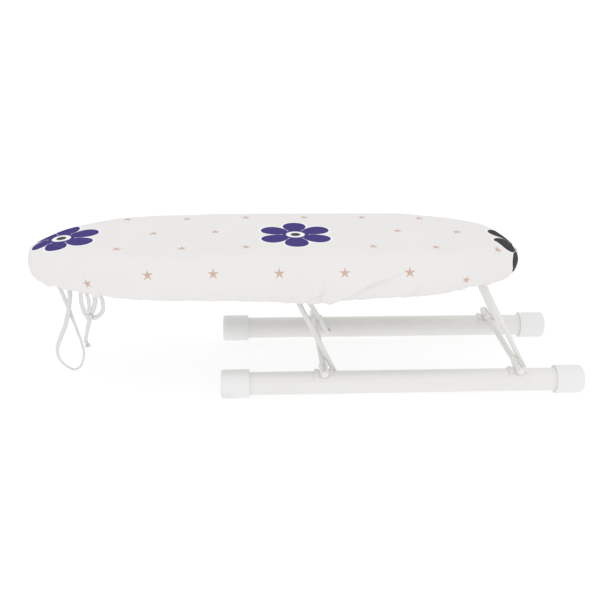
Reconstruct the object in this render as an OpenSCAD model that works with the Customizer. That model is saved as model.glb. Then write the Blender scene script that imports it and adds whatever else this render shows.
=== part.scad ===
// Small tabletop ironing board on a folding two-tube stand.
// Millimetres, +Z up. The origin is on the floor, midway between the nose tip and the far end caps.
// The board stands open: both wire legs lean towards the nose and rest on the crossbars.

/* [Board] */
// Length of the covered board, nose tip to tail tip
board_l = 476; // [450:1:500]
// Width of the covered board at its widest
board_w = 154; // [148:1:160]
// Height of the ironing surface above the floor
board_h = 143; // [141:1:150]
// Length of the long tapered nose
nose_l = 138; // [120:1:150]
// Length of the shorter tapered tail
tail_l = 110; // [100:1:120]
// How far the soft shoulder rolls in from the board's edge
roll_in = 19; // [17:1:21]
// How far the soft shoulder rolls down from the top
roll_down = 24; // [22:1:25]
// How far the cover hangs below the widest line before it turns under
hem_drop = 20; // [18:1:22]

/* [Stand] */
// Length of the stand over its end caps
base_l = 350; // [330:1:370]
// Distance between the axes of the two floor tubes
tube_gap = 129; // [126:1:134]
// Outer diameter of a floor tube
tube_d = 22; // [21:0.5:23]
// Wall thickness of a floor tube
tube_wall = 1; // [0.8:0.1:1.5]
// Diameter of a crossbar
bar_d = 6; // [5:0.5:6]
// Outer diameter of an end cap
cap_d = 27.2; // [26.4:0.1:28]
// Length of an end cap
cap_l = 27; // [22:1:32]

/* [Legs] */
// Diameter of the leg wire
leg_d = 5; // [4:0.5:5]
// Lean of the open legs from upright, towards the nose
lean = 28; // [24:1:30]
// Distance between the two leg pivots along a tube
leg_pitch = 188; // [180:1:192]
// Height of the pivot under the board
top_pivot_z = 120; // [118:1:121]
// Half the width of a leg at the board, between wire centres
leg_top_y = 20.8; // [19:0.1:24]

/* [Hidden] */
$fn = 48;
fit = 0.05;
running_gap = 0.1;

// Stand places
tube_r = tube_d / 2;
cap_r = cap_d / 2;
foot_flat = 0.3;
tube_z = cap_r - foot_flat;
tube_y = tube_gap / 2;
cap_end = 3;
tube_l = base_l - 2 * cap_end;
bar_r = bar_d / 2;

// Leg places
leg_r = leg_d / 2;
leg_rise = top_pivot_z - tube_z;
leg_shift = leg_rise * tan(lean);
leg_l = leg_rise / cos(lean);
leg_side_gap = 0.6;
leg_foot_y = tube_y - tube_r - leg_side_gap - leg_r;
leg_pin_y = tube_y - tube_r + 5;
leg_foot_bend = 3.5;
leg_top_bend = 6;
bend_lap = 0.3;
bend_slack = 0.03;
pivot_hole_r = 3;
pivot_offset = 63.3;

// Where board and stand sit along X, so that the whole length is centred
lead = leg_shift + pivot_offset;
half_total = (base_l / 2 + lead + board_l / 2) / 2;
board_x = board_l / 2 - half_total;
base_x = half_total - base_l / 2;
pivot_left_x = board_x + leg_shift;
pivot_right_x = pivot_left_x + leg_pitch;
top_left_x = board_x;
top_right_x = board_x + leg_pitch;

// A crossbar lies on the tubes where the leaning leg wire comes to rest on it
stop_gap = 0.15;
bar_z = tube_z + tube_r + bar_r + 0.02;
bar_back = (leg_r + bar_r + stop_gap + (bar_z - tube_z) * sin(lean)) / cos(lean);
bar_overhang = 12;
bar_left_x = pivot_left_x - bar_back;
bar_right_x = pivot_right_x - bar_back;

// Saddle clip that clasps a crossbar on a tube
saddle_w = 18;
saddle_reach = 9;
saddle_t = 1.2;
ear_slot = 3.2;
rivet_x = 6.8;
rivet_tilt = 28;
rivet_shank_r = 1.2;
rivet_head_r = 1.7;
rivet_head_h = 0.9;

// Layers of the board, from the top down
cover_t = 0.8;
layer_gap = 0.3;
wide_z = board_h - roll_down;
pad_t = 12.6;
pad_base_z = board_h - cover_t - layer_gap - pad_t;
plate_t = 1;
plate_top_z = pad_base_z - 0.1;
plate_under_z = plate_top_z - plate_t;
rim_depth = 13.6;
rim_lip = 3;
plate_inset = 15;
edge_base_z = plate_top_z - 12.6;
tuck_in = 12;
hem_in = 21;
hem_rise = 2;
hem_z = wide_z - hem_drop;
outline_power = 1.75;
corner_steps = 11;

// Vent holes and leg brackets of the plate
vent_r = 3.5;
vent_pitch = 24;
vent_edge = 27;
bracket_w = 22;
bracket_t = 1.5;
bracket_foot = 14;
bracket_rivet_x = 9;
bracket_rivet_y = 6;
bracket_rivet_r = 1.6;
bracket_head_r = 3;
bracket_head_h = 1.2;

// Drawstring
cord_r = 1.5;
cord_sides = 8;
string_y = -29;
tie_y = -42;
knot_r = 3.4;
knot_at = [-206, tie_y, 75];

// The hanging loop: down from the hem, round the bottom and back up across itself
loop_route = [
    [-234, string_y + 2, 99], [-232, string_y + 2, 93], [-230, string_y + 2, 86],
    [-228, string_y + 2, 80], [-226, string_y + 2, 73], [-224, string_y + 1, 66],
    [-222, string_y + 1, 59], [-220, string_y, 52], [-218, string_y, 45], [-217, string_y, 38],
    [-216, string_y, 31], [-217, string_y, 25], [-219, string_y, 19], [-222, string_y, 15],
    [-227, string_y, 13], [-231, string_y, 15], [-235, string_y, 18], [-239, string_y, 23],
    [-241, string_y, 29], [-241, string_y, 35], [-240, string_y, 40], [-237, string_y, 47],
    [-234, string_y, 54], [-231, string_y - 1, 61], [-229, string_y - 2, 68],
    [-227, string_y - 2, 74], [-226, string_y - 2, 80], [-225, string_y - 2, 86],
    [-224, string_y - 2, 92], [-224, string_y - 2, 100]
];

// Four short strands from the hem to the knot, and the loose tail below it
tie_left_route = [
    [-212, tie_y, 99], [-212, tie_y, 96], [-212, tie_y, 92], [-212, tie_y, 88],
    [-211, tie_y, 84], [-211, tie_y, 79]
];
tie_right_route = [
    [-206, tie_y, 99.5], [-206, tie_y, 96], [-205, tie_y, 92], [-205, tie_y, 88],
    [-205, tie_y, 84], [-206, tie_y, 79]
];
bow_left_route = [
    [-198, tie_y - 1, 100], [-199, tie_y - 1, 95], [-199, tie_y - 1, 91], [-200, tie_y, 87],
    [-201, tie_y, 83], [-202, tie_y, 80]
];
bow_right_route = [
    [-194, tie_y - 2, 100], [-193, tie_y - 2, 95], [-192, tie_y - 2, 91],
    [-192, tie_y - 2, 87], [-192, tie_y - 2, 83], [-194, tie_y - 1, 79],
    [-197, tie_y, 76], [-201, tie_y, 75]
];
tail_route = [
    [-206, tie_y, 71], [-207, tie_y, 67], [-208, tie_y, 63], [-209, tie_y, 59],
    [-210, tie_y, 55], [-211, tie_y, 51], [-210, tie_y, 47], [-208, tie_y, 43]
];

// ---- Outline of the board ----

// Half the board's width at a distance u from the board's middle, drawn in by an inset
function half_width(u, inset) =
    let (from_middle = u < 0 ? nose_l - board_l / 2 - u : u - board_l / 2 + tail_l,
         reach = (u < 0 ? nose_l : tail_l) - inset,
         share = max(0, from_middle) / reach)
    share >= 1 ? 0 : (board_w / 2 - inset) * pow(1 - pow(share, outline_power), 1 / outline_power);

// One quarter of the outline, from the tip (turn 0) to the straight side (turn 90)
function corner_point(turn, reach, width) =
    [reach * pow(cos(turn), 2 / outline_power), width * pow(sin(turn), 2 / outline_power)];

function quarter(reach, width) =
    [for (i = [0 : corner_steps]) corner_point(90 * i / corner_steps, reach, width)];

// The whole outline, anticlockwise from the tail tip, drawn in by an inset
function outline(inset) =
    let (tail = quarter(tail_l - inset, board_w / 2 - inset),
         nose = quarter(nose_l - inset, board_w / 2 - inset),
         tail_x = board_x + board_l / 2 - tail_l,
         nose_x = board_x - board_l / 2 + nose_l,
         last = corner_steps)
    concat(
        [for (i = [0 : last]) [tail_x + tail[i][0], tail[i][1]]],
        [for (i = [last : -1 : 0]) [nose_x - nose[i][0], nose[i][1]]],
        [for (i = [1 : last]) [nose_x - nose[i][0], -nose[i][1]]],
        [for (i = [last : -1 : 1]) [tail_x + tail[i][0], -tail[i][1]]]
    );

// ---- Lofted solids: a profile of [inset, height] carried round the outline ----

function loft_points(profile) =
    [for (step = profile, p = outline(step[0])) [p[0], p[1], step[1]]];

function loft_sides(rings, around) =
    [for (k = [0 : rings - 2], i = [0 : around - 1])
        let (j = (i + 1) % around)
        [k * around + i, k * around + j, (k + 1) * around + j, (k + 1) * around + i]];

// Profile runs from the middle of the top, outwards, round and back to the middle below
module capped_loft(profile) {
    around = len(outline(0));
    rings = len(profile);
    lid = [for (i = [around - 1 : -1 : 0]) i];
    bottom = [for (i = [0 : around - 1]) (rings - 1) * around + i];
    polyhedron(loft_points(profile), concat([lid], loft_sides(rings, around), [bottom]));
}

// Profile runs once round a closed section that circles the board
module ring_loft(profile) {
    around = len(outline(0));
    rings = len(profile) + 1;
    polyhedron(loft_points(concat(profile, [profile[0]])), loft_sides(rings, around));
}

// A point of the rounded shoulder, from the top (turn 0) to the widest line (turn 90)
function shoulder(turn, depth) =
    [roll_in * (1 - sin(turn)) + depth, wide_z + roll_down * cos(turn) - depth];

// A point of the cover's side below the widest line, where it curves in to the hem
function tuck(turn, depth) =
    [tuck_in * (1 - cos(turn)) + depth, wide_z - hem_drop * sin(turn) + depth * sin(turn)];

// ---- Bent round wire in the XY plane ----

function unit(v) = v / norm(v);
function step_dir(path, i) = unit(path[i + 1] - path[i]);
function turn_at(path, i) = acos(step_dir(path, i - 1) * step_dir(path, i));
function trim_at(path, bends, i) =
    i == 0 || i == len(path) - 1 ? 0 : bends[i] * tan(turn_at(path, i) / 2);
function left_of(v) = [-v[1], v[0]];
function cross_z(a, b) = a[0] * b[1] - a[1] * b[0];

module wire_straight(path, bends, i, r) {
    dir = step_dir(path, i);
    from = path[i] + dir * trim_at(path, bends, i);
    to = path[i + 1] - dir * trim_at(path, bends, i + 1);
    translate([from[0], from[1], 0])
        rotate([0, 90, atan2(dir[1], dir[0])])
            cylinder(r = r, h = norm(to - from));
}

module wire_bend(path, bends, i, r) {
    before = step_dir(path, i - 1);
    after = step_dir(path, i);
    side = cross_z(before, after) > 0 ? 1 : -1;
    from = path[i] - before * trim_at(path, bends, i);
    to = path[i] + after * trim_at(path, bends, i);
    centre = from + left_of(before) * bends[i] * side;
    first = side > 0 ? from - centre : to - centre;
    lap = bend_lap / bends[i] * 180 / PI;
    translate([centre[0], centre[1], 0])
        rotate([0, 0, atan2(first[1], first[0]) - lap])
            rotate_extrude(angle = turn_at(path, i) + 2 * lap)
                translate([bends[i], 0]) circle(r - bend_slack);
}

module bent_wire(path, bends, r) {
    for (i = [0 : len(path) - 2]) wire_straight(path, bends, i, r);
    for (i = [1 : len(path) - 2]) wire_bend(path, bends, i, r);
}

// ---- Free cord: rings of points swept along a route that stays near the XZ plane ----

function route_dir(route, i) =
    unit(route[min(i + 1, len(route) - 1)] - route[max(i - 1, 0)]);

function cord_ring(route, i, r) =
    let (dir = route_dir(route, i),
         side = unit(cross(dir, [0, 1, 0])),
         up = cross(side, dir))
    [for (k = [0 : cord_sides - 1])
        let (a = 360 * k / cord_sides)
        route[i] + r * (cos(a) * side + sin(a) * up)];

module cord(route, r) {
    count = len(route);
    points = [for (i = [0 : count - 1], p = cord_ring(route, i, r)) p];
    start = [for (k = [0 : cord_sides - 1]) k];
    finish = [for (k = [cord_sides - 1 : -1 : 0]) (count - 1) * cord_sides + k];
    sides = [for (i = [0 : count - 2], k = [0 : cord_sides - 1])
        let (m = (k + 1) % cord_sides)
        [i * cord_sides + k, (i + 1) * cord_sides + k, (i + 1) * cord_sides + m, i * cord_sides + m]];
    polyhedron(points, concat([start], sides, [finish]));
}

// ---- Stand ----

// Places the children at the crossing of a crossbar and a tube, tube axis along X
module at_crossing(x, side) {
    translate([x, side * tube_y, tube_z]) children();
}

// The four rivet places round one crossing, each pointing out of the tube
module rivet_places() {
    for (x = [-rivet_x, rivet_x], tilt = [-rivet_tilt, rivet_tilt])
        translate([x, 0, 0]) rotate([tilt, 0, 0]) children();
}

module floor_tube(side) {
    color("whitesmoke")
        difference() {
            translate([base_x, side * tube_y, tube_z])
                rotate([0, 90, 0]) cylinder(r = tube_r, h = tube_l, center = true);
            translate([base_x, side * tube_y, tube_z])
                rotate([0, 90, 0]) cylinder(r = tube_r - tube_wall, h = tube_l + 2, center = true);
            for (x = [pivot_left_x, pivot_right_x])
                translate([x, side * tube_y, tube_z])
                    rotate([side * 90, 0, 0]) cylinder(r = pivot_hole_r, h = tube_r + 2);
            for (x = [bar_left_x, bar_right_x])
                at_crossing(x, side) rivet_places()
                    cylinder(r = rivet_shank_r + fit, h = tube_r + 2);
        }
}

module front_tube() {
    floor_tube(-1);
}

module rear_tube() {
    floor_tube(1);
}

module cap_profile() {
    edge = 3;
    difference() {
        union() {
            translate([0, edge]) square([cap_r, cap_l - edge]);
            square([cap_r - edge, edge + 1]);
            translate([cap_r - edge, edge]) circle(edge);
        }
        translate([-1, cap_end]) square([tube_r + fit + 1, cap_l]);
    }
}

// A cap over one tube end: end -1 is the nose end of the stand, end 1 the tail end
module end_cap(end, side) {
    color("white")
        translate([base_x + end * base_l / 2, side * tube_y, tube_z])
            difference() {
                rotate([0, -end * 90, 0])
                    rotate_extrude() intersection() {
                        cap_profile();
                        square([cap_r + 1, cap_l + 1]);
                    }
                translate([0, 0, -tube_z - cap_r])
                    cube([3 * cap_l, 2 * cap_r, 2 * cap_r], center = true);
            }
}

module crossbar(x) {
    color("whitesmoke")
        translate([x, 0, bar_z])
            rotate([90, 0, 0])
                cylinder(r = bar_r, h = 2 * (tube_y + bar_overhang), center = true);
}

module saddle(x, side) {
    color("gainsboro")
        at_crossing(x, side)
            difference() {
                union() {
                    intersection() {
                        rotate([0, 90, 0]) cylinder(r = tube_r + saddle_t, h = saddle_w, center = true);
                        translate([-saddle_w / 2, -saddle_reach, 0])
                            cube([saddle_w, 2 * saddle_reach, 2 * tube_r]);
                    }
                    translate([0, 0, bar_z - tube_z]) rotate([90, 0, 0])
                        cylinder(r = bar_r + saddle_t, h = 2 * saddle_reach, center = true);
                }
                rotate([0, 90, 0]) cylinder(r = tube_r + fit, h = 2 * saddle_w, center = true);
                translate([0, 0, bar_z - tube_z]) rotate([90, 0, 0])
                    cylinder(r = bar_r + fit, h = 4 * saddle_reach, center = true);
                translate([-ear_slot / 2, -2 * saddle_reach, bar_z - tube_z])
                    cube([ear_slot, 4 * saddle_reach, 2 * tube_r]);
                rivet_places() cylinder(r = rivet_shank_r + fit, h = 2 * tube_r);
            }
}

module saddle_rivets() {
    seat = tube_r + saddle_t;
    color("gainsboro")
        for (x = [bar_left_x, bar_right_x], side = [-1, 1])
            at_crossing(x, side) rivet_places() {
                translate([0, 0, tube_r - tube_wall - 1])
                    cylinder(r = rivet_shank_r, h = seat - tube_r + tube_wall + 1 + rivet_head_h);
                translate([0, 0, seat]) cylinder(r = rivet_head_r, h = rivet_head_h);
            }
}

// ---- Legs ----

// One bent wire: pins outwards into the tubes, sides narrowing upwards, closed across the top
module leg(x) {
    path = [
        [-leg_pin_y, 0], [-leg_foot_y, 0], [-leg_top_y, leg_l],
        [leg_top_y, leg_l], [leg_foot_y, 0], [leg_pin_y, 0]
    ];
    bends = [0, leg_foot_bend, leg_top_bend, leg_top_bend, leg_foot_bend, 0];
    color("whitesmoke")
        translate([x, 0, tube_z]) rotate([0, -lean, 0]) rotate([90, 0, 90])
            bent_wire(path, bends, leg_r);
}

// ---- Under the board ----

module bracket_profile() {
    height = plate_under_z - top_pivot_z;
    outer = leg_r + running_gap + bracket_t;
    difference() {
        union() {
            circle(outer);
            translate([-outer, 0]) square([2 * outer, height]);
            translate([-bracket_foot, height - bracket_t]) square([2 * bracket_foot, bracket_t]);
        }
        circle(leg_r + running_gap);
        translate([-leg_r - running_gap, 0]) square([2 * (leg_r + running_gap), height + 1]);
    }
}

module bracket_rivet_places(x) {
    for (dx = [-bracket_rivet_x, bracket_rivet_x], y = [-bracket_rivet_y, bracket_rivet_y])
        translate([x + dx, y, 0]) children();
}

module bracket(x) {
    color("lightgray")
        difference() {
            translate([x, 0, top_pivot_z]) rotate([90, 0, 0])
                linear_extrude(bracket_w, center = true) bracket_profile();
            bracket_rivet_places(x)
                translate([0, 0, plate_under_z - 2 * bracket_t])
                    cylinder(r = bracket_rivet_r + fit, h = 3 * bracket_t);
        }
}

module bracket_rivets(x) {
    foot_z = plate_under_z - bracket_t;
    color("silver")
        bracket_rivet_places(x) {
            translate([0, 0, foot_z - bracket_head_h])
                cylinder(r = bracket_rivet_r, h = plate_top_z - foot_z + bracket_head_h);
            translate([0, 0, foot_z - bracket_head_h])
                cylinder(r = bracket_head_r, h = bracket_head_h);
        }
}

// A vent hole is left out where it would meet a bracket or the rim
function clear_of_brackets(u, y) =
    min(abs(u), abs(u - leg_pitch)) > bracket_foot + 2 * vent_r || abs(y) > bracket_w / 2 + 2 * vent_r;

module vent_places() {
    columns = floor(board_l / vent_pitch / 2);
    rows = floor(board_w / vent_pitch / 2);
    for (i = [-columns : columns], j = [-rows : rows]) {
        u = (i + (abs(j) % 2) / 2) * vent_pitch;
        y = j * vent_pitch;
        if (abs(y) < half_width(u, vent_edge) && clear_of_brackets(u, y))
            translate([board_x + u, y, 0]) children();
    }
}

// Pressed-steel pan: flat top, straight rim and a narrow lip turned in under it
module board_plate() {
    rim_z = plate_top_z - rim_depth;
    color("gainsboro")
        difference() {
            translate([0, 0, rim_z]) linear_extrude(rim_depth) polygon(outline(plate_inset));
            translate([0, 0, rim_z + plate_t])
                linear_extrude(rim_depth - 2 * plate_t) polygon(outline(plate_inset + plate_t));
            translate([0, 0, rim_z - 1])
                linear_extrude(rim_depth / 2) polygon(outline(plate_inset + plate_t + rim_lip));
            vent_places()
                translate([0, 0, plate_under_z - 1]) cylinder(r = vent_r, h = 3);
            for (x = [top_left_x, top_right_x])
                bracket_rivet_places(x)
                    translate([0, 0, plate_under_z - 1]) cylinder(r = bracket_rivet_r + fit, h = 3);
        }
}

// Where the shoulder reaches the underside of the pad
function pad_turn() = acos((pad_base_z + cover_t + layer_gap - wide_z) / roll_down);

module pad() {
    depth = cover_t + layer_gap;
    steps = 5;
    over = [for (i = [0 : steps]) shoulder(pad_turn() * i / steps, depth)];
    color("wheat")
        capped_loft(concat(over, [[plate_inset, pad_base_z]]));
}

module edge_roll() {
    depth = cover_t + layer_gap;
    steps = 3;
    over = [for (i = [0 : steps]) shoulder(pad_turn() + (90 - pad_turn()) * i / steps, depth)];
    top = [plate_inset - 0.3, over[0][1] - 0.1];
    first = [over[0][0], over[0][1] - 0.1];
    rest = [for (i = [1 : steps]) over[i]];
    color("khaki")
        ring_loft(concat([top, first], rest, [[depth + 1, edge_base_z], [plate_inset - 0.3, edge_base_z]]));
}

// One sheet drawn over the pad, down the side and in under the rim
module cover() {
    steps = 5;
    over = [for (i = [0 : steps]) shoulder(90 * i / steps, 0)];
    under = [for (i = [1 : steps]) tuck(90 * i / steps, 0)];
    inner_under = [for (i = [steps : -1 : 1]) tuck(90 * i / steps, cover_t)];
    inner_over = [for (i = [steps : -1 : 0]) shoulder(90 * i / steps, cover_t)];
    hem = [[hem_in, hem_z + hem_rise], [hem_in, hem_z + hem_rise + cover_t]];
    color("ivory")
        capped_loft(concat(over, under, hem, inner_under, inner_over));
}

module hem_cord() {
    centre_in = hem_in - 2 * cord_r;
    centre_z = hem_z + hem_rise + cover_t + cord_r + layer_gap;
    color("white")
        ring_loft([for (k = [0 : cord_sides - 1])
            let (a = 360 * k / cord_sides)
            [centre_in + cord_r * cos(a), centre_z + cord_r * sin(a)]]);
}

module free_cord(route) {
    color("white") cord(route, cord_r);
}

module string_knot() {
    color("white") translate(knot_at) sphere(knot_r);
}

front_tube();
rear_tube();
end_cap(-1, -1);  // cap_front_left
end_cap(1, -1);  // cap_front_right
end_cap(-1, 1);  // cap_rear_left
end_cap(1, 1);  // cap_rear_right
crossbar(bar_left_x);  // crossbar_left
crossbar(bar_right_x);  // crossbar_right
saddle(bar_left_x, -1);  // saddle_front_left
saddle(bar_right_x, -1);  // saddle_front_right
saddle(bar_left_x, 1);  // saddle_rear_left
saddle(bar_right_x, 1);  // saddle_rear_right
saddle_rivets();
leg(pivot_left_x);  // leg_left
leg(pivot_right_x);  // leg_right
bracket(top_left_x);  // bracket_left
bracket(top_right_x);  // bracket_right
bracket_rivets(top_left_x);  // bracket_rivets_left
bracket_rivets(top_right_x);  // bracket_rivets_right
board_plate();
pad();
edge_roll();
cover();
hem_cord();
free_cord(loop_route);  // string_loop
free_cord(tie_left_route);  // string_tie_left
free_cord(tie_right_route);  // string_tie_right
free_cord(bow_left_route);  // string_bow_left
free_cord(bow_right_route);  // string_bow_right
free_cord(tail_route);  // string_tail
string_knot();
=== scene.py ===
"""Looks of a small tabletop ironing board: a padded board in a printed cotton cover with its
drawstring, on wire legs that fold down to a stand of two floor tubes. Metres, +X towards the
tail of the board, +Y to the rear tube, +Z up, origin on the floor."""

import math

import bmesh
import bpy
import numpy as np
from mathutils import Matrix, Vector


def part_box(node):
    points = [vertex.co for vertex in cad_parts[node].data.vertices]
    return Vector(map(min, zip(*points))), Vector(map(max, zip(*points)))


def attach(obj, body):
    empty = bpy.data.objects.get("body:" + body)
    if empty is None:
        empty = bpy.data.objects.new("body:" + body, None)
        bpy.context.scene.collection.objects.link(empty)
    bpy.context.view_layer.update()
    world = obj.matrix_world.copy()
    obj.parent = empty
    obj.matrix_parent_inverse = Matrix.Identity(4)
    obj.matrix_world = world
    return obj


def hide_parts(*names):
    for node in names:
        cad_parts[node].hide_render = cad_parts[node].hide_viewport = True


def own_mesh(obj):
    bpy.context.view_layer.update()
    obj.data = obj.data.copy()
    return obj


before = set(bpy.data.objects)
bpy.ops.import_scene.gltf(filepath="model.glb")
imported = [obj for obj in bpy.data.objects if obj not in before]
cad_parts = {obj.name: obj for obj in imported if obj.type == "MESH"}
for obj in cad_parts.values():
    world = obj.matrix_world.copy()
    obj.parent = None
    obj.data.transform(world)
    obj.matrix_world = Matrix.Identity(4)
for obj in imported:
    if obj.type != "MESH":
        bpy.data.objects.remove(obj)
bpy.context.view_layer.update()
scene = bpy.context.scene


# ---- Camera ----
# A standing view from the front, a little to the left of the stand and looking down on the board.
# The lens is a normal one for a square picture, and the horizon tips by one degree.
camera_data = bpy.data.cameras.new("camera")
camera_data.sensor_width = 36.0
camera_data.lens = 54.27
camera_data.clip_end = 100.0
camera = bpy.data.objects.new("camera", camera_data)
scene.collection.objects.link(camera)
scene.camera = camera
yaw, pitch, roll = math.radians(4.085), math.radians(23.01), math.radians(-1.018)
ahead = Vector((math.sin(yaw) * math.cos(pitch), math.cos(yaw) * math.cos(pitch), -math.sin(pitch)))
level = Vector((math.cos(yaw), -math.sin(yaw), 0.0))
upright = level.cross(ahead)
right = math.cos(roll) * level - math.sin(roll) * upright
up = right.cross(ahead)
turn = Matrix((right, up, -ahead)).transposed().to_4x4()
camera.matrix_world = Matrix.Translation((-0.0595, -0.8459, 0.4257)) @ turn


# ---- Drawstring ----
# Soft white braided cotton cord, 3 mm, hollow, so it lies flat as a 4.4 x 2 mm braid and turns as it
# hangs. It runs in the hem of the cover, comes out through buttonholes under the nose, hangs in
# one long loop, and its ends are tied in a small bow.
cord_width = 0.003
cord_lay = 0.0044
cord_round = 0.0094
flat_share = 1.47


def smooth_line(points, spacing):
    """A Catmull-Rom curve through the points, in samples about `spacing` apart."""
    p = np.asarray(points, float)
    p = np.vstack([2 * p[0] - p[1], p, 2 * p[-1] - p[-2]])
    rows = []
    for a, b, c, d in zip(p[:-3], p[1:-2], p[2:-1], p[3:]):
        t = np.linspace(0, 1, max(2, int(np.linalg.norm(c - b) / spacing) + 1))[:-1, None]
        rows.append(0.5 * (2 * b + (c - a) * t + (2 * a - 5 * b + 4 * c - d) * t**2
                           + (3 * b - a - 3 * c + d) * t**3))
    return np.vstack(rows + [p[-2][None]])


def frames_along(line):
    """Unit tangent and two unit sides at each sample, carried along without twisting."""
    tangent = np.gradient(line, axis=0)
    tangent /= np.linalg.norm(tangent, axis=1)[:, None]
    side = np.cross(tangent[0], [0, 1, 0])
    sides = []
    for t in tangent:
        side = side - t * side.dot(t)
        side /= np.linalg.norm(side)
        sides.append(side.copy())
    sides = np.array(sides)
    return tangent, sides, np.cross(tangent, sides)


def mesh_piece(name, points, faces, material, smooth=True):
    """Adds a mesh piece to the scene with one material."""
    data = bpy.data.meshes.new(name)
    data.from_pydata(np.asarray(points).tolist(), [], faces)
    data.polygons.foreach_set("use_smooth", [smooth] * len(data.polygons))
    data.materials.append(material)
    piece = bpy.data.objects.new(name, data)
    scene.collection.objects.link(piece)
    return piece


def grid_faces(rows, columns, closed=True):
    """Quads of a grid of points in rows, the columns joined up in a ring if closed."""
    i, j = np.meshgrid(np.arange(rows - 1), np.arange(columns if closed else columns - 1), indexing="ij")
    k = (j + 1) % columns
    quads = np.stack([i * columns + j, i * columns + k, (i + 1) * columns + k, (i + 1) * columns + j], -1)
    return quads.reshape(-1, 4).tolist()


def smooth_step(x, low, high):
    """Rises smoothly from 0 to 1 between two values."""
    t = np.clip((x - low) / (high - low), 0, 1)
    return t * t * (3 - 2 * t)


def braided_cord(name, points, width, material, sides=20, flatness=flat_share, first_turn=0.0, turns=0.0):
    """Sweeps a braid along a line: the radius rises and falls with two families of strands that
    wind in opposite turns, r = R (0.93 + 0.08 max(|sin a|, |sin b|)), a and b = 2 x angle plus
    and minus the length over a 4.4 mm lay. The round is pressed flat, R times the flatness one way
    and R over it the other, and the flat turns from its first angle by so many turns along the
    cord. The ends are closed with rounded caps."""
    line = smooth_line(points, 0.00045)
    _, side, other = frames_along(line)
    run = np.concatenate([[0], np.cumsum(np.linalg.norm(np.diff(line, axis=0), axis=1))])
    angle = np.arange(sides) * 2 * math.pi / sides
    lay = 2 * math.pi * run[:, None] / cord_lay
    strands = np.maximum(np.abs(np.sin(2 * angle + lay)), np.abs(np.sin(2 * angle - lay)))
    radius = width / 2 * (0.93 + 0.08 * strands)
    end = np.minimum(run, run[-1] - run) / (width * 0.3)
    radius = radius * np.sqrt(1 - (1 - np.clip(end, 0, 1)) ** 2 * 0.9)[:, None]
    lie = (first_turn + turns * smooth_step(run / run[-1], 0, 1))[:, None] * 2 * math.pi
    wide, thin = radius * np.cos(angle) * flatness, radius * np.sin(angle) / flatness
    ring = (line[:, None] + side[:, None] * (wide * np.cos(lie) - thin * np.sin(lie))[..., None]
            + other[:, None] * (wide * np.sin(lie) + thin * np.cos(lie))[..., None])
    count = len(line)
    faces = grid_faces(count, sides)
    faces.append(list(range(sides)))
    faces.append(list(range((count - 1) * sides, count * sides))[::-1])
    piece = mesh_piece(name, ring.reshape(-1, 3), faces, material)
    flat = np.broadcast_arrays(angle[None] / (2 * math.pi) * cord_round, run[:, None])
    store_uv(piece, np.stack(flat, -1).reshape(-1, 2))
    return piece, line


def store_uv(piece, flat):
    """Stores each vertex's own flat place, in metres, as the piece's UV."""
    layer = piece.data.uv_layers.new(name="cloth")
    index = np.zeros(len(piece.data.loops), np.int32)
    piece.data.loops.foreach_get("vertex_index", index)
    layer.data.foreach_set("uv", flat[index].astype(np.float32).ravel())


def paint(colour):
    """An sRGB hex colour as the linear value a shader socket takes."""
    parts = [int(colour[i:i + 2], 16) / 255 for i in (1, 3, 5)]
    return tuple(c / 12.92 if c <= 0.04045 else ((c + 0.055) / 1.055) ** 2.4 for c in parts) + (1.0,)


def node(material, kind, inputs=None, output=0, **settings):
    """Adds one shader node. Settings are its own properties, inputs are constants or other outputs."""
    made = material.node_tree.nodes.new("ShaderNode" + kind)
    for key, value in settings.items():
        setattr(made, key, value)
    for key, value in (inputs or {}).items():
        if isinstance(value, bpy.types.NodeSocket):
            material.node_tree.links.new(value, made.inputs[key])
        else:
            made.inputs[key].default_value = value
    return made.outputs[output] if made.outputs else None


def calc(material, operation, *values):
    """One Math node on constants or outputs."""
    return node(material, "Math", dict(enumerate(values)), operation=operation)


def finish_material(material, **inputs):
    """The Principled surface and the output of a material."""
    named = {key.replace("_", " "): value for key, value in inputs.items()}
    surface = node(material, "BsdfPrincipled", named)
    node(material, "OutputMaterial", {"Surface": surface})
    return material


def new_material(name):
    """A material with an empty node tree."""
    material = bpy.data.materials.new(name)
    material.use_nodes = True
    material.node_tree.nodes.clear()
    return material


def mixed(material, share, first, second):
    """A colour mixed from two by a share. A Mix node's colours are its inputs 6 and 7."""
    return node(material, "Mix", {"Factor": share, 6: first, 7: second}, 2, data_type="RGBA")


# White cotton cord: matt, with the shadow of the braid in its valleys and loose fibres.
cotton_cord = new_material("cotton_cord")
cord_place = node(cotton_cord, "UVMap", uv_map="cloth")
cord_fibres = node(cotton_cord, "TexNoise", {"Vector": cord_place, "Scale": 2600.0, "Detail": 4.0})
# Painted shade: darker grey noise patches mixed into the cord colour stand for the shadow in the braid's
# valleys.
cord_valley_shade = node(cotton_cord, "TexNoise", {"Vector": cord_place, "Scale": 90.0, "Detail": 3.0})
cord_white = mixed(cotton_cord, cord_fibres, paint("#D8D9D9"), paint("#EAEBEA"))
cord_colour = mixed(cotton_cord, calc(cotton_cord, "MULTIPLY", cord_valley_shade, 0.35), cord_white, paint("#C6C7C6"))
cord_bump = node(cotton_cord, "Bump", {"Height": cord_fibres, "Strength": 0.6, "Distance": 0.00012})
finish_material(cotton_cord, Base_Color=cord_colour, Roughness=0.92, IOR=1.47, Normal=cord_bump,
                Sheen_Weight=0.25, Sheen_Roughness=0.4)

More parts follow.
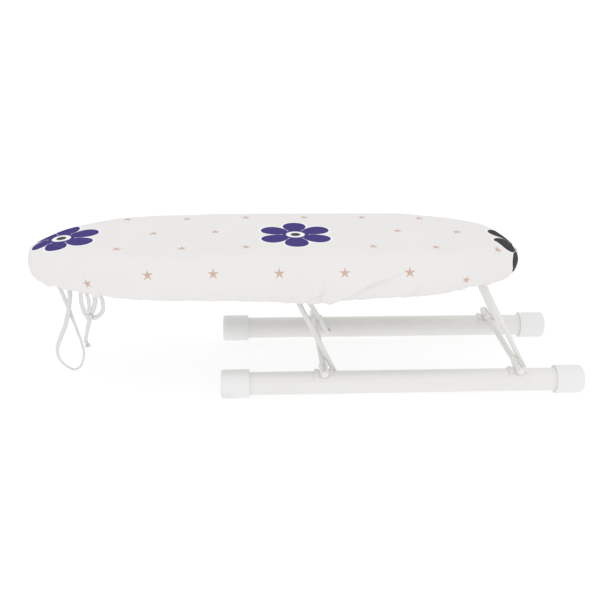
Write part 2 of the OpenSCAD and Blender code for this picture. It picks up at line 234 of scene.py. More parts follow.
# The loop and the ties keep to the routes of the solids that they stand for.
loop_route = [
    (-.234, -.027, .099), (-.232, -.027, .093), (-.230, -.027, .086), (-.228, -.027, .080),
    (-.226, -.027, .073), (-.224, -.028, .066), (-.222, -.028, .059), (-.220, -.029, .052),
    (-.218, -.029, .045), (-.217, -.029, .038), (-.216, -.029, .031), (-.217, -.029, .025),
    (-.219, -.029, .019), (-.222, -.029, .015), (-.227, -.029, .013), (-.231, -.029, .015),
    (-.235, -.029, .018), (-.239, -.029, .023), (-.241, -.029, .029), (-.241, -.029, .035),
    (-.240, -.029, .040), (-.237, -.029, .047), (-.234, -.029, .054), (-.231, -.030, .061),
    (-.229, -.031, .068), (-.227, -.031, .074), (-.226, -.031, .080), (-.225, -.031, .086),
    (-.224, -.031, .092), (-.224, -.031, .100)]
tail_route = [
    (-.212, -.042, .099), (-.212, -.042, .096), (-.212, -.042, .092), (-.212, -.042, .088),
    (-.211, -.042, .084), (-.210, -.042, .079), (-.2075, -.042, .075), (-.206, -.042, .071),
    (-.207, -.042, .067), (-.208, -.042, .063), (-.209, -.042, .059), (-.210, -.042, .055),
    (-.211, -.042, .051), (-.210, -.042, .047)]
bow_route = [
    (-.198, -.043, .100), (-.199, -.043, .095), (-.199, -.043, .091), (-.200, -.042, .087),
    (-.201, -.042, .083), (-.2025, -.0415, .0795), (-.2045, -.040, .0765), (-.2045, -.040, .0742),
    (-.201, -.0415, .0735), (-.197, -.042, .0755), (-.194, -.043, .079), (-.192, -.044, .083),
    (-.192, -.044, .087), (-.192, -.044, .091), (-.193, -.044, .095), (-.194, -.044, .100)]
tie_route = [
    (-.206, -.042, .0995), (-.206, -.042, .096), (-.205, -.042, .092), (-.205, -.042, .088),
    (-.205, -.042, .084), (-.206, -.042, .079)]

# Their upper ends are carried on 5 mm into the hem.
loop, loop_line = braided_cord(
    "string_loop_cord", [(-.2355, -.027, .1045)] + loop_route + [(-.224, -.031, .105)],
    cord_width, cotton_cord, first_turn=0.05, turns=0.5)
tail, tail_line = braided_cord(
    "string_tail_cord", [(-.212, -.042, .104)] + tail_route,
    cord_width, cotton_cord, first_turn=0.1, turns=-0.25)
bow, bow_line = braided_cord(
    "string_bow_cord", [(-.198, -.043, .105)] + bow_route + [(-.195, -.044, .105)],
    cord_width, cotton_cord, first_turn=-0.05, turns=0.12)
tie, tie_line = braided_cord(
    "string_tie_cord", [(-.206, -.042, .1045)] + tie_route,
    cord_width, cotton_cord, first_turn=0.1)
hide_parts("string_loop")
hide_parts("string_tie_left", "string_tail")
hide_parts("string_bow_left", "string_bow_right")
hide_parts("string_tie_right")

# The knot is an overhand knot pulled small, with its turns lying over each other.
knot_centre = np.array([-0.206, -0.042, 0.075])
knot_turn = np.linspace(0, 2 * math.pi, 33)
knot_path = knot_centre + 0.00078 * np.stack([
    np.sin(knot_turn) + 2 * np.sin(2 * knot_turn), -1.1 * np.sin(3 * knot_turn),
    np.cos(knot_turn) - 2 * np.cos(2 * knot_turn)], -1)
knot, _ = braided_cord("string_knot_turns", knot_path, 0.0026, cotton_cord, 14, 1.0)
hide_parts("string_knot")


fibre_rows = 7


def loose_fibres(name, start, direction, count, length, seed):
    """A frayed cord end: thin strands that leave one point in a cone and curl a little."""
    chance = np.random.default_rng(seed)
    points, faces, sides = [], [], 4
    for _ in range(count):
        lean = np.array(direction) + chance.normal(0, 0.26, 3) * [1, 0.7, 0.4]
        curl = chance.normal(0, 0.18, 3)
        t = np.linspace(0, 1, fibre_rows)[:, None]
        line = start + length * chance.uniform(0.6, 1) * (lean * t + curl * t**2)
        _, side, other = frames_along(line)
        angle = np.arange(sides) * 2 * math.pi / sides
        radius = 0.00032 * (1 - 0.5 * t)
        ring = (line[:, None] + side[:, None] * (radius * np.cos(angle))[..., None]
                + other[:, None] * (radius * np.sin(angle))[..., None])
        base = len(points) * fibre_rows * sides
        faces += [[v + base for v in face] for face in grid_faces(fibre_rows, sides)]
        tip = base + (fibre_rows - 1) * sides
        faces += [[base + k for k in range(sides)], [tip + k for k in range(sides)][::-1]]
        points.append(ring.reshape(-1, 3))
    piece = mesh_piece(name, np.vstack(points), faces, cotton_cord)
    store_uv(piece, np.vstack(points)[:, [0, 2]])
    return piece


fray = loose_fibres("string_frayed_end", tail_line[-5], (0.25, 0.0, -1.0), 70, 0.0052, 5)

for piece in (loop, tail, bow, tie, knot, fray):
    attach(piece, "board")
    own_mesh(piece)


# ---- Cover ----
# One sheet of white plain-weave cotton, printed with small stars and six-petalled flowers, drawn
# over the pad and gathered under the rim by a cord in its sewn hem. Cut about 290 x 600 mm.
board_length, board_width, board_top = 0.476, 0.154, 0.143
nose_length, tail_length, tip_power = 0.138, 0.110, 1.75
board_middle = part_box("cover")[0].x + board_length / 2
widest = 0.119
roll_in, roll_down = 0.019, 0.024
hem_bottom = 0.099
hem_inset, hem_height, hem_round = 0.0178, 0.1035, 0.0031
cover_columns, flat_rows = 520, 16

# Folds of slack cloth on the front: points of x and length past the top, height, half width.
drawn_folds = (
    (((0.020, 0.056), (0.040, 0.041), (0.052, 0.034), (0.083, 0.022)), 0.0044, 0.0026),
    (((0.0865, 0.054), (0.0985, 0.036)), 0.0032, 0.0020),
    (((0.012, 0.058), (0.008, 0.044), (0.010, 0.030)), 0.0020, 0.0024),
    (((-0.010, 0.058), (0.000, 0.046), (0.012, 0.038)), 0.0020, 0.0022),
    (((-0.120, 0.058), (-0.100, 0.044), (-0.070, 0.040)), 0.0012, 0.0030))


def board_outline(count):
    """The plan outline as a superellipse at each tip and straight sides between them. Gives for
    each of `count` samples, evenly spaced along the edge: centre x, the share of the tip's
    reach, the share of the half width, and the reach itself."""
    t = np.linspace(0, math.pi / 2, 900)
    across, along = np.sin(t) ** (2 / tip_power), np.cos(t) ** (2 / tip_power)
    tail_x = board_middle + board_length / 2 - tail_length
    nose_x = board_middle - board_length / 2 + nose_length
    s = np.linspace(0, 1, 900)
    quarter_tail = [np.full(900, tail_x), along, across, np.full(900, tail_length)]
    side = [tail_x + (nose_x - tail_x) * s, 0 * s, 1 + 0 * s, np.full(900, nose_length)]
    quarter_nose = [np.full(900, nose_x), -along[::-1], across[::-1], np.full(900, nose_length)]
    rear = [np.concatenate(v) for v in zip(quarter_tail, side, quarter_nose)]
    front = [rear[0][::-1], rear[1][::-1], -rear[2][::-1], rear[3][::-1]]
    centre, reach_share, width_share, reach = (np.concatenate(v) for v in zip(rear, front))
    x = centre + reach_share * (reach - 0.006)
    y = width_share * (board_width / 2 - 0.006)
    run = np.concatenate([[0], np.cumsum(np.hypot(np.diff(x), np.diff(y)))])
    at = np.linspace(0, run[-1], count, endpoint=False)
    return [np.interp(at, run, v) for v in (centre, reach_share, width_share, reach)]


def outline_at(outline, inset):
    """Points of the outline drawn in by an inset, which may differ from point to point."""
    centre, reach_share, width_share, reach = outline
    return centre + reach_share * (reach - inset), width_share * (board_width / 2 - inset)


def waves(seed, count, shortest, longest, *places):
    """A smooth random field from -1 to 1: the mean of sine waves with random headings."""
    chance = np.random.default_rng(seed)
    total = 0
    for _ in range(count):
        heading = chance.normal(size=len(places))
        heading *= 2 * math.pi / chance.uniform(shortest, longest) / np.linalg.norm(heading)
        total = total + np.sin(sum(h * p for h, p in zip(heading, places)) + chance.uniform(0, 6.3))
    return total / math.sqrt(count)


def hem_lift(x):
    """How far the hem is pulled up: most before the tail, where the cloth is tight. It hangs
    slack beside the left leg."""
    slack = 0.0026 * smooth_step(x, -0.05, -0.005) * (1 - smooth_step(x, 0.016, 0.030))
    return (-slack + 0.0034 * smooth_step(x, 0.03, 0.08) + 0.0072 * smooth_step(x, 0.09, 0.215)
            - 0.0062 * smooth_step(x, 0.150, 0.184)
            + 0.0022 * smooth_step(-x, 0.10, 0.22) - 0.0030 * smooth_step(-x, 0.22, 0.262))


def tip_droop(x, z):
    """How far the top sinks towards nose and tail, where the felt thins out."""
    sunk = (0.004 * smooth_step(-x, 0.175, 0.262) + 0.0032 * smooth_step(-x, 0.230, 0.266)
            + 0.0014 * smooth_step(-x, 0.080, 0.125)
            + 0.0016 * smooth_step(x, 0.090, 0.130) + 0.0068 * smooth_step(x, 0.176, 0.2095))
    return sunk * np.clip((z - 0.1295) / 0.0125, 0, 1)


def side_sag(x):
    """How far the side of the cover slips down at the tips."""
    return 0.0016 * smooth_step(-x, 0.230, 0.262) + 0.0040 * smooth_step(x, 0.182, 0.206)


def cover_profile():
    """The cover's section from the middle of the top, out and down, and in under the rim to the
    hem: rows of inset, height, length along the section past the flat top."""
    top = [[inset, board_top] for inset in np.linspace(0.0765, roll_in, flat_rows)]
    t = np.linspace(0, math.pi / 2, 35)[1:]
    over = [[roll_in * (1 - math.sin(a)), widest + roll_down * math.cos(a)] for a in t]
    t = np.linspace(0, math.pi / 2, 25)[1:]
    under = [[0.012 * (1 - math.cos(a)), widest - (widest - hem_bottom) * math.sin(a)] for a in t]
    shelf = [[0.0135, hem_bottom + 0.0004], [0.0150, hem_bottom + 0.0009]]
    a = np.linspace(-math.pi / 2, math.pi * 0.9, 13)
    hem = [[hem_inset + hem_round * math.cos(k), hem_height + hem_round * math.sin(k)] for k in a]
    rows = np.array(top + over + under + shelf + hem)
    step = np.linalg.norm(np.diff(rows, axis=0), axis=1)
    run = np.concatenate([[0], np.cumsum(step)])
    return np.column_stack([rows, run - run[flat_rows - 1]])


def fold_across(x, past, path, depth, width):
    """A fold of slack cloth along a path of (x, length past the top) points: it swells gently from
    above and falls off steeply below."""
    best = np.full(np.broadcast(x, past).shape, 9.0)
    signed = np.zeros_like(best)
    along = np.zeros_like(best)
    path = np.array(path)
    for k, (a, b) in enumerate(zip(path[:-1], path[1:])):
        d = b - a
        t = np.clip(((x - a[0]) * d[0] + (past - a[1]) * d[1]) / d.dot(d), 0, 1)
        gap_x, gap_s = x - a[0] - t * d[0], past - a[1] - t * d[1]
        distance = np.hypot(gap_x, gap_s)
        nearer = distance < best
        best = np.where(nearer, distance, best)
        signed = np.where(nearer, distance * np.sign(gap_s), signed)
        along = np.where(nearer, (k + t) / (len(path) - 1), along)
    taper = np.sin(math.pi * np.clip(along * 0.84 + 0.08, 0, 1))
    slope = np.where(signed < 0, 2.2 * width, 0.4 * width)
    dip = np.exp(-((signed - 0.8 * width) / (0.5 * width)) ** 2)
    return depth * taper * (np.exp(-(signed / slope) ** 2) - 0.22 * dip)


def make_cover():
    """The cover as rings of points along the outline, one ring for each row of the section.
    Cloth lies slack and is gathered under the rim: pleats of 9 to 26 mm grow from the widest
    line to the hem, with a few long folds drawn across the front and a hem that rises to the
    tail. Each point keeps its place on the flat cloth as UV."""
    outline = board_outline(cover_columns)
    rows = cover_profile()
    inset, height, past = (rows[:, k][:, None] for k in range(3))
    x, y = outline_at(outline, inset)
    z = np.broadcast_to(height, x.shape).copy()
    edge_x, edge_y = outline_at(outline, roll_in)
    tangent = np.stack([np.gradient(np.concatenate([edge_x[-1:], edge_x, edge_x[:1]]))[1:-1],
                        np.gradient(np.concatenate([edge_y[-1:], edge_y, edge_y[:1]]))[1:-1]])
    tangent /= np.linalg.norm(tangent, axis=0)
    out_x, out_y = tangent[1], -tangent[0]
    drawn = past + 0.0045 * smooth_step(past, 0.0, 0.012) * (1 - smooth_step(edge_x, 0.10, 0.16))
    flat_x = np.where(past > 0, edge_x + out_x * drawn, x)
    flat_y = np.where(past > 0, edge_y + out_y * drawn, y)

    around = np.concatenate([[0], np.cumsum(np.hypot(np.diff(edge_x), np.diff(edge_y)))])
    total = around[-1] + math.hypot(edge_x[0] - edge_x[-1], edge_y[0] - edge_y[-1])
    ring = 2 * math.pi * around / total
    at_tip = np.abs(outline[1]) ** 0.8
    below = np.clip((widest - height) / (widest - hem_bottom), 0, 1) ** 1.15
    chance = np.random.default_rng(11)
    pleats = 0
    for turns, weight in ((31, 0.5), (43, 0.6), (59, 0.8), (73, 0.8), (97, 0.6), (127, 0.35)):
        pleats = pleats + weight * np.sin(turns * ring + chance.uniform(0, 6.3)
                                          + 0.9 * np.sin(3 * ring + chance.uniform(0, 6.3)))
    slack = 0.55 + 0.45 * waves(4, 5, 0.05, 0.2, edge_x, edge_y)
    gathered = 0.35 + 0.9 * at_tip - 0.75 * smooth_step(edge_x, 0.170, 0.200)
    push = 0.00105 * pleats * gathered * slack * below
    roll_share = smooth_step(past, 0.0, 0.02) * (1 - 0.4 * below)
    push = push + 0.00035 * roll_share * waves(8, 9, 0.02, 0.06, flat_x, flat_y)
    push = push + 0.00016 * roll_share * waves(9, 9, 0.009, 0.02, flat_x, flat_y)
    for path, depth, width in drawn_folds:
        push = push + fold_across(x, past, path, depth, width) * (y < 0)
    direction_z = np.where(past > 0, np.clip((z - widest) / roll_down, -1, 1), 1.0)
    direction_out = np.sqrt(np.clip(1 - direction_z**2, 0, 1))
    x = x + out_x * push * direction_out
    y = y + out_y * push * direction_out
    z = z + push * direction_z * (past > 0)
    z = z - (past <= 0) * 0.00018 * (1 + waves(5, 8, 0.03, 0.09, x, y))
    lift = hem_lift(x) + 0.0009 * waves(21, 5, 0.04, 0.11, edge_x, edge_y)
    sag = side_sag(x) * np.clip((board_top - height) / 0.012, 0, 1) * (height > hem_bottom + 0.006)
    z = z + lift * np.clip((widest + 0.002 - height) / (widest - hem_bottom), 0, 1) - tip_droop(x, z) - sag
    points = np.stack([x, y, z], -1).reshape(-1, 3)
    faces = [face[::-1] for face in grid_faces(len(rows), x.shape[1])]
    cover = mesh_piece("cotton_cover", points, faces, None)
    store_uv(cover, np.stack([flat_x, flat_y], -1).reshape(-1, 2))
    return cover, np.stack([flat_x[-1], flat_y[-1]], -1)


cover, cover_edge = make_cover()


def fill_holes(piece, first_only=None):
    """Closes a piece's open rims with triangles and points its faces outwards. With a count, it
    closes only the rim made of that many first points."""
    shape = bmesh.new()
    shape.from_mesh(piece.data)
    rim = [edge for edge in shape.edges if edge.is_boundary
           and (first_only is None or all(v.index < first_only for v in edge.verts))]
    bmesh.ops.holes_fill(shape, edges=rim)
    bmesh.ops.triangulate(shape, faces=[f for f in shape.faces if len(f.verts) > 4])
    bmesh.ops.recalc_face_normals(shape, faces=shape.faces)
    shape.to_mesh(piece.data)
    shape.free()


fill_holes(cover, cover_columns)
cover.data.polygons.foreach_set("use_smooth", [True] * len(cover.data.polygons))

# Printed cotton: a white plain weave with yarns 0.42 mm apart. The stars are 11 mm across on a
# staggered lattice, 59 mm along by 89 mm across. The flowers are 69 mm across, 218 mm apart.
star_step_x, star_step_y = 0.05898, 0.0892
cloth = new_material("cotton_print")
place = node(cloth, "UVMap", uv_map="cloth")
place_x = node(cloth, "SeparateXYZ", {0: place}, 0)
place_y = node(cloth, "SeparateXYZ", {0: place}, 1)


def about(centre_x, centre_y, turn):
    """Cloth coordinates about a centre, turned by an angle: (x, y) outputs in metres."""
    dx = calc(cloth, "SUBTRACT", place_x, centre_x)
    dy = calc(cloth, "SUBTRACT", place_y, centre_y)
    c, s = math.cos(turn), math.sin(turn)
    return (calc(cloth, "ADD", calc(cloth, "MULTIPLY", dx, c), calc(cloth, "MULTIPLY", dy, s)),
            calc(cloth, "SUBTRACT", calc(cloth, "MULTIPLY", dy, c), calc(cloth, "MULTIPLY", dx, s)))


def folded(x, y, sectors, first):
    """Polar folding into one of `sectors` equal wedges centred on angle `first`: gives the
    distance along the wedge's axis, the distance off it, and the radius."""
    wedge = 2 * math.pi / sectors
    angle = calc(cloth, "SUBTRACT", calc(cloth, "ARCTAN2", y, x), first - wedge / 2 - 4 * math.pi)
    off = calc(cloth, "SUBTRACT", calc(cloth, "FLOORED_MODULO", angle, wedge), wedge / 2)
    radius = calc(cloth, "SQRT", calc(cloth, "ADD", calc(cloth, "MULTIPLY", x, x),
                                      calc(cloth, "MULTIPLY", y, y)))
    return (calc(cloth, "MULTIPLY", radius, calc(cloth, "COSINE", off)),
            calc(cloth, "ABSOLUTE", calc(cloth, "MULTIPLY", radius, calc(cloth, "SINE", off))), radius)


def inside(distance, soft=0.00022):
    """1 where a distance is below zero, with an edge as soft as ink on cotton."""
    ramp = calc(cloth, "DIVIDE", distance, -2 * soft)
    return node(cloth, "Clamp", {"Value": calc(cloth, "ADD", ramp, 0.5)})


def either(first, second):
    """A mask of both areas."""
    return calc(cloth, "MAXIMUM", first, second)


ink_grain = node(cloth, "TexNoise", {"Vector": place, "Scale": 1500.0, "Detail": 2.0})
ink_wobble = calc(cloth, "MULTIPLY", calc(cloth, "SUBTRACT", ink_grain, 0.5), 0.0007)


def flower(centre_x, centre_y, turn=0.0):
    """Six rounded petals that meet round the middle, a white ring and a dark eye. Gives the
    masks of petals, of the white halo round them with the ring, of the eye and of its surroundings."""
    x, y = about(centre_x, centre_y, turn)
    along, off, radius = folded(x, y, 6, math.radians(30))
    a = calc(cloth, "DIVIDE", calc(cloth, "SUBTRACT", along, 0.0222), 0.0140)
    b = calc(cloth, "DIVIDE", off, calc(cloth, "ADD", calc(cloth, "MULTIPLY", a, 0.0021), 0.0110))
    length = calc(cloth, "SQRT", calc(cloth, "ADD", calc(cloth, "MULTIPLY", a, a),
                                      calc(cloth, "MULTIPLY", b, b)))
    petal = calc(cloth, "MULTIPLY", calc(cloth, "SUBTRACT", length, 1.0), 0.0115)
    middle = calc(cloth, "SUBTRACT", radius, 0.0126)
    blob = calc(cloth, "ADD", calc(cloth, "MINIMUM", petal, middle), ink_wobble)
    ring = inside(calc(cloth, "SUBTRACT", radius, 0.009))
    petals = calc(cloth, "MULTIPLY", inside(blob), calc(cloth, "SUBTRACT", 1.0, ring))
    halo = either(inside(calc(cloth, "SUBTRACT", blob, 0.0016)), ring)
    eye = inside(calc(cloth, "ADD", calc(cloth, "SUBTRACT", radius, 0.0047), ink_wobble))
    return petals, halo, eye, inside(calc(cloth, "SUBTRACT", radius, 0.046))


def repeated(coordinate, first, step):
    """A coordinate repeated over a step, with its zero at the first place."""
    moved = calc(cloth, "SUBTRACT", coordinate, first - step / 2)
    return calc(cloth, "SUBTRACT", calc(cloth, "FLOORED_MODULO", moved, step), step / 2)


def star_lattice(first_x, first_y):
    """Five-pointed stars on a rectangular lattice, upright, as one mask."""
    x, y = repeated(place_x, first_x, star_step_x), repeated(place_y, first_y, star_step_y)
    along, off, _ = folded(x, y, 5, math.radians(90))
    point, notch = 0.0055, 0.0019
    notch_x, notch_y = notch * math.cos(math.pi / 5), notch * math.sin(math.pi / 5)
    slope_x, slope_y = notch_y, point - notch_x
    size = math.hypot(slope_x, slope_y)
    level = calc(cloth, "ADD", calc(cloth, "MULTIPLY", along, slope_x / size),
                 calc(cloth, "MULTIPLY", off, slope_y / size))
    return inside(calc(cloth, "ADD", calc(cloth, "SUBTRACT", level, slope_x * point / size), ink_wobble))


blue = flower(-0.0109, -0.0060)
nose_blue = flower(-0.2334, -0.0005, math.radians(-5))
tail_black = flower(0.2120, -0.0085)
stars = either(star_lattice(-0.1763, 0.048),
               star_lattice(-0.1763 + star_step_x / 2, 0.048 - star_step_y / 2))
near_flower = either(either(blue[1], nose_blue[1]), tail_black[1])
bare = either(either(near_flower, nose_blue[3]), blue[3])
stars = calc(cloth, "MULTIPLY", stars, calc(cloth, "SUBTRACT", 1.0, bare))

# The weave: warp and weft yarns pass over each other, thicker in places.
yarn = math.pi / 0.00042
warp = calc(cloth, "SINE", calc(cloth, "MULTIPLY", place_x, yarn))
weft = calc(cloth, "SINE", calc(cloth, "MULTIPLY", place_y, yarn))
crossing = calc(cloth, "MULTIPLY", warp, weft)
slubs, slubs_across = (
    node(cloth, "TexNoise", {"Vector": node(cloth, "Mapping", {"Vector": place, "Scale": stretch}),
                             "Scale": 1.0, "Detail": 3.0})
    for stretch in ((60.0, 900.0, 1.0), (900.0, 60.0, 1.0)))
weave = calc(cloth, "ADD", calc(cloth, "MULTIPLY", crossing, 0.35), calc(cloth, "ADD", slubs, slubs_across))
tone = node(cloth, "TexNoise", {"Vector": place, "Scale": 14.0, "Detail": 4.0})
white = mixed(cloth, tone, paint("#E8E6E4"), paint("#EDEBE9"))
white = mixed(cloth, calc(cloth, "MULTIPLY", slubs, 0.18), white, paint("#D5D2CF"))
pink_patch = node(cloth, "TexNoise", {"Vector": place, "Scale": 21.0, "Detail": 0.0})
star_ink = mixed(cloth, pink_patch, paint("#C9A791"), paint("#CBA092"))
ink_fade = calc(cloth, "MULTIPLY_ADD", ink_grain, 0.10, 0.92)
print_white = mixed(cloth, calc(cloth, "MULTIPLY", near_flower, 0.8), white, paint("#F6F5F4"))
with_stars = mixed(cloth, calc(cloth, "MULTIPLY", stars, 0.85), print_white, star_ink)
blue_ink = calc(cloth, "MULTIPLY", either(blue[0], nose_blue[0]), ink_fade)
with_blue = mixed(cloth, blue_ink, with_stars, paint("#2D1C76"))
with_black = mixed(cloth, calc(cloth, "MULTIPLY", tail_black[0], ink_fade), with_blue, paint("#1C1E20"))
eyes = either(either(blue[2], nose_blue[2]), tail_black[2])
cloth_colour = mixed(cloth, calc(cloth, "MULTIPLY", eyes, ink_fade), with_black, paint("#302F38"))
crease = node(cloth, "TexNoise", {"Vector": place, "Scale": 75.0, "Detail": 3.0, "Roughness": 0.6})
crease_bump = node(cloth, "Bump", {"Height": crease, "Strength": 0.35, "Distance": 0.0012})
cloth_bump = node(cloth, "Bump", {"Height": weave, "Strength": 0.45, "Distance": 0.00006,
                                  "Normal": crease_bump})
finish_material(cloth, Base_Color=cloth_colour, Roughness=0.9, IOR=1.47, Normal=cloth_bump,
                Specular_IOR_Level=0.2, Sheen_Weight=0.02, Sheen_Roughness=0.5)
cover.data.materials.clear()
cover.data.materials.append(cloth)

thickness = cover.modifiers.new("cloth thickness", "SOLIDIFY")
thickness.thickness = 0.0006
thickness.offset = -1.0
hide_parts("cover")
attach(cover, "board")
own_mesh(cover)


# ---- Hem cord ----
# The same cord inside the hem. It shows only as the round of the casing, so it is a plain ring.
hem_outline = board_outline(420)
hem_x, hem_y = outline_at(hem_outline, hem_inset)
hem_line = np.column_stack([hem_x, hem_y, hem_height + hem_lift(hem_x)])


def closed_tube(name, line, width, material, sides=12):
    """A ring of cord along a closed line that lies nearly level."""
    ahead_of = np.roll(line, -1, 0) - np.roll(line, 1, 0)
    ahead_of /= np.linalg.norm(ahead_of, axis=1)[:, None]
    out = np.cross(ahead_of, [0, 0, 1.0])
    over = np.cross(out, ahead_of)
    angle = np.arange(sides) * 2 * math.pi / sides
    twist = np.arange(len(line))[:, None] * 0.55
    radius = width / 2 * (0.93 + 0.07 * np.abs(np.sin(2 * angle + twist)))
    ring = (line[:, None] + out[:, None] * (radius * np.cos(angle))[..., None]
            + over[:, None] * (radius * np.sin(angle))[..., None])
    rows = len(line)
    quads = [[v % (rows * sides) for v in face] for face in grid_faces(rows + 1, sides)]
    piece = mesh_piece(name, ring.reshape(-1, 3), quads, material)
    flat = np.broadcast_arrays(angle[None] / (2 * math.pi) * cord_round, np.arange(rows)[:, None] * 0.0027)
    store_uv(piece, np.stack(flat, -1).reshape(-1, 2))
    return piece


hem_cord = closed_tube("hem_cord_ring", hem_line, cord_width, cotton_cord)
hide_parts("hem_cord")
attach(hem_cord, "board")
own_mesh(hem_cord)


# ---- Pad ----
# A 12 mm needled felt blanket under the cover, off-white and a little uneven, and a soft rolled
# strip of the same felt round the plate's rim.
felt = new_material("needled_felt")
felt_place = node(felt, "TexCoord", output=3)
felt_fibre = node(felt, "TexNoise", {"Vector": felt_place, "Scale": 1800.0, "Detail": 5.0, "Distortion": 1.2})
felt_tone = node(felt, "TexNoise", {"Vector": felt_place, "Scale": 60.0, "Detail": 3.0})
felt_colour = mixed(felt, felt_fibre, paint("#CFC7B8"), paint("#EDE7DB"))
felt_colour = mixed(felt, calc(felt, "MULTIPLY", felt_tone, 0.3), felt_colour, paint("#C2BAA9"))
felt_bump = node(felt, "Bump", {"Height": felt_fibre, "Strength": 0.8, "Distance": 0.0004})
finish_material(felt, Base_Color=felt_colour, Roughness=0.95, IOR=1.5, Normal=felt_bump,
                Sheen_Weight=0.4, Sheen_Roughness=0.5)


def felt_piece(name, section, around, material, seed, closed):
    """Felt carried round the outline along a section of (inset, height) rows. Its surface swells
    and sinks by 0.2 mm. A closed section is a ring, an open one has its two middles filled."""
    outline = board_outline(around)
    section = np.array(section)
    x, y = outline_at(outline, section[:, 0][:, None] + side_sag(outline[0] + outline[1] * outline[3]))
    z = np.broadcast_to(section[:, 1][:, None], x.shape).copy()
    above = (section[:, 1] > section[:, 1].min() + 0.001)[:, None]
    z = z - 0.0002 * (1 + waves(seed, 8, 0.012, 0.05, x, y, z)) * above
    z = z - tip_droop(x, z)
    points = np.stack([x, y, z], -1).reshape(-1, 3)
    rows = len(section)
    if closed:
        faces = [[v % (rows * around) for v in face[::-1]] for face in grid_faces(rows + 1, around)]
    else:
        faces = [face[::-1] for face in grid_faces(rows, around)]
    piece = mesh_piece(name, points, faces, material)
    if not closed:
        fill_holes(piece)
    return piece


pad_gap = 0.0018
pad_base = 0.1293
pad_stop = math.acos((pad_base + pad_gap - widest) / roll_down)
pad_section = [[inset, board_top - pad_gap] for inset in np.linspace(0.076, roll_in + pad_gap, 14)]
pad_section += [[roll_in * (1 - math.sin(a)) + pad_gap, widest + roll_down * math.cos(a) - pad_gap]
                for a in np.linspace(0, pad_stop, 9)[1:]]
pad_section += [[inset, pad_base] for inset in np.linspace(0.0045, 0.076, 12)]
pad = felt_piece("felt_pad", pad_section, 300, felt, 31, False)
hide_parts("pad")
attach(pad, "board")

edge_section = [[roll_in * (1 - math.sin(a)) + pad_gap, widest + roll_down * math.cos(a) - pad_gap - 0.0002]
                for a in np.linspace(pad_stop, 1.25, 5)]
edge_section += [[0.0040, 0.1215], [0.0062, 0.1196], [0.0100, 0.1190], [0.0140, 0.1195],
                 [0.0147, 0.1230], [0.0147, 0.1290], [0.0100, 0.1291], [0.0060, 0.1291]]
edge = felt_piece("felt_edge_roll", edge_section, 300, felt, 37, True)
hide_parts("edge_roll")
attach(edge, "board")


# ---- Plate, brackets and rivets under the board ----
# Pressed steel pan in thin grey-white enamel, zinc-plated strap brackets, bright zinc rivets.
def rub(material, coordinate, scale, detail=4.0, **more):
    """Uneven noise of one scale on a coordinate."""
    return node(material, "TexNoise", {"Vector": coordinate, "Scale": scale, "Detail": detail, **more})


def painted_steel(name, colour, shade, roughness, peel):
    """Sprayed and baked paint: an orange-peel skin, faint clouds in the tone, a few dull rubs."""
    made = new_material(name)
    where = node(made, "TexCoord", output=3)
    clouds = rub(made, where, 24.0)
    peel_noise = rub(made, where, 900.0, 2.0)
    scuffs = node(made, "ValToRGB", {"Fac": rub(made, where, 130.0, 6.0, Distortion=1.5)})
    ramp = scuffs.node.color_ramp
    ramp.elements[0].position, ramp.elements[1].position = 0.62, 0.74
    colour_mix = mixed(made, clouds, paint(colour), paint(shade))
    dull = calc(made, "MULTIPLY_ADD", scuffs, 0.14, roughness)
    bump = node(made, "Bump", {"Height": peel_noise, "Strength": 0.25, "Distance": peel})
    return finish_material(made, Base_Color=colour_mix, Roughness=dull, IOR=1.5, Normal=bump,
                           Coat_Weight=0.15, Coat_Roughness=0.2)


def zinc_plated(name):
    """Zinc on steel: cool grey metal with fine drawn lines and cloudy passivation."""
    made = new_material(name)
    where = node(made, "TexCoord", output=3)
    lines = rub(made, node(made, "Mapping", {"Vector": where, "Scale": (80.0, 2600.0, 2600.0)}), 1.0, 3.0)
    clouds = rub(made, where, 160.0, 5.0)
    tone = mixed(made, clouds, paint("#B4B7BA"), paint("#D0D2D3"))
    rough = calc(made, "MULTIPLY_ADD", lines, 0.18, 0.26)
    bump = node(made, "Bump", {"Height": lines, "Strength": 0.3, "Distance": 0.00003})
    return finish_material(made, Base_Color=tone, Metallic=1.0, Roughness=rough, Normal=bump)


def dress(names, material):
    """Gives CAD nodes their material."""
    for name in names:
        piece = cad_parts[name]
        piece.data.materials.clear()
        piece.data.materials.append(material)


dress(["board_plate"], painted_steel("plate_enamel", "#D3D4D3", "#DDDEDC", 0.4, 0.00004))
dress(["bracket_left", "bracket_right", "bracket_rivets_left", "bracket_rivets_right"],
      zinc_plated("zinc_plate"))


# ---- Legs ----
# Two frames of 5 mm steel wire, bent and sprayed white, each pinned into the tubes at its feet.
white_paint = painted_steel("white_powder_coat", "#E4E3E0", "#E9E8E5", 0.34, 0.00005)
dress(["leg_left", "leg_right"], white_paint)


# ---- Stand ----
# Two 22 mm steel tubes, sprayed white, with two 6 mm bars across them that pressed saddles clasp.
dress(["front_tube", "rear_tube", "saddle_rivets", "crossbar_left", "crossbar_right", "saddle_front_left",
       "saddle_front_right", "saddle_rear_left", "saddle_rear_right"], white_paint)

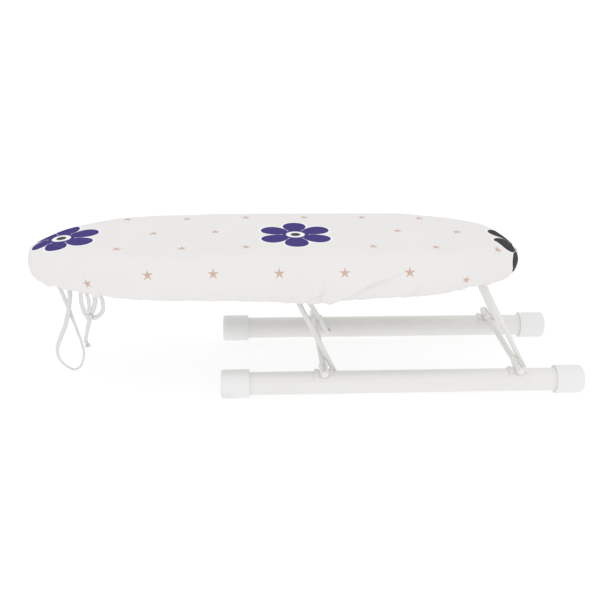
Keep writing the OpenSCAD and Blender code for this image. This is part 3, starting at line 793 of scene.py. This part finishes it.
# Moulded end caps of white polyethylene, soft-edged, with a fine spark-eroded skin.
cap_plastic = new_material("white_polyethylene")
cap_where = node(cap_plastic, "TexCoord", output=3)
cap_skin = rub(cap_plastic, cap_where, 2200.0, 3.0)
cap_cloud = rub(cap_plastic, cap_where, 45.0)
cap_colour = mixed(cap_plastic, cap_cloud, paint("#E6E6E5"), paint("#ECECEB"))
cap_rough = calc(cap_plastic, "MULTIPLY_ADD", cap_skin, 0.2, 0.38)
cap_bump = node(cap_plastic, "Bump", {"Height": cap_skin, "Strength": 0.3, "Distance": 0.00004})
finish_material(cap_plastic, Base_Color=cap_colour, Roughness=cap_rough, IOR=1.51, Normal=cap_bump,
                Subsurface_Weight=0.08, Subsurface_Scale=0.002)
dress(["cap_front_left", "cap_front_right", "cap_rear_left", "cap_rear_right"], cap_plastic)


# ---- Studio ----
# A pale seamless floor under soft light from all round, with broad lamps above, in front and to the
# right. The floor gives off some light of its own, so it stays white under the board.
floor_paper = new_material("floor_paper")
paper_where = node(floor_paper, "TexCoord", output=3)
paper_tone = rub(floor_paper, paper_where, 3.0, 2.0)
paper_colour = mixed(floor_paper, paper_tone, paint("#9C9C9C"), paint("#9E9E9E"))
finish_material(floor_paper, Base_Color=paper_colour, Roughness=1.0, Specular_IOR_Level=0.0,
                Emission_Color=(1.0, 1.0, 1.0, 1.0), Emission_Strength=0.72)
floor = mesh_piece("floor", [(-30, -30, 0), (30, -30, 0), (30, 30, 0), (-30, 30, 0)], [[0, 1, 2, 3]],
                   floor_paper, smooth=False)

world = bpy.data.worlds.new("studio")
scene.world = world
world.use_nodes = True
world.node_tree.nodes["Background"].inputs["Color"].default_value = (1.0, 1.0, 1.0, 1.0)
world.node_tree.nodes["Background"].inputs["Strength"].default_value = 0.93


def soft_lamp(name, place, aim, size, power):
    """A square area lamp that looks at a point."""
    data = bpy.data.lights.new(name, "AREA")
    data.shape = "SQUARE"
    data.size = size
    data.energy = power
    lamp = bpy.data.objects.new(name, data)
    scene.collection.objects.link(lamp)
    lamp.location = place
    lamp.rotation_euler = (Vector(aim) - Vector(place)).to_track_quat("-Z", "Y").to_euler()
    return lamp


soft_lamp("key", (-0.3, -0.3, 2.0), (0.0, 0.0, 0.08), 1.4, 3.3)
soft_lamp("front", (-0.3, -1.9, 0.9), (0.0, 0.0, 0.08), 1.4, 1.7)
soft_lamp("fill", (1.2, -1.4, 0.9), (0.0, 0.0, 0.08), 1.2, 0.6)
scene.view_settings.view_transform = "Standard"
